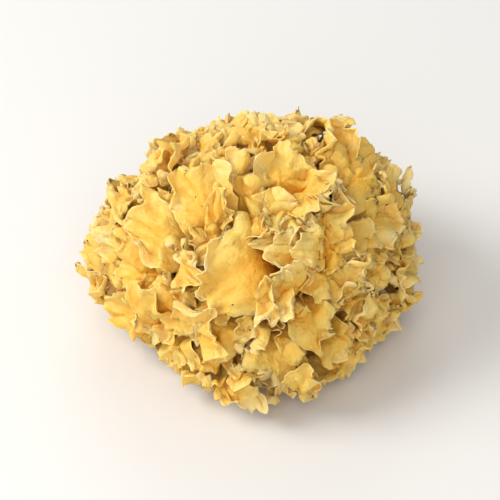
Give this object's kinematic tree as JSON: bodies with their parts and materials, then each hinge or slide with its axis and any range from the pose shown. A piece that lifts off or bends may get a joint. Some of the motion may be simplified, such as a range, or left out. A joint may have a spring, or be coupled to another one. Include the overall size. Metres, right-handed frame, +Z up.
{
  "type": "dried snow fungus",
  "caption": "Dried snow fungus: a ball of crisped, folded, honey-coloured fronds that fork from one holdfast, cut flat underneath where it grew on wood.",
  "frame": {"origin": "centre of the flat cut face that the fungus rests on", "axes": "+Z up out of the cut face; +X along the clump's widest side; the picture's viewer stands towards -Y"},
  "size_m": [0.0678, 0.0673, 0.0444],
  "materials": {
    "frond": "dried jelly sheet, thin and translucent, dull satin, honey cream with paler rims",
    "holdfast": "tough dried base, matt golden brown, sawn flat underneath"
  },
  "bodies": {
    "root": {"frond_crown_left": "frond", "frond_crown_right": "frond", "frond_crown_front": "frond", "frond_crown_back": "frond", "frond_shoulder_left": "frond", "frond_left": "frond", "frond_middle": "frond", "frond_curl": "frond", "frond_shoulder_right": "frond", "frond_flap": "frond", "frond_back_right": "frond", "frond_back_left": "frond", "frond_skirt_left": "frond", "frond_hanging": "frond", "frond_skirt_right": "frond", "frond_right": "frond", "frond_skirt_back_right": "frond", "frond_skirt_back": "frond", "frond_skirt_back_left": "frond", "frond_skirt_side": "frond", "holdfast": "holdfast"}
  },
  "joints": []
}
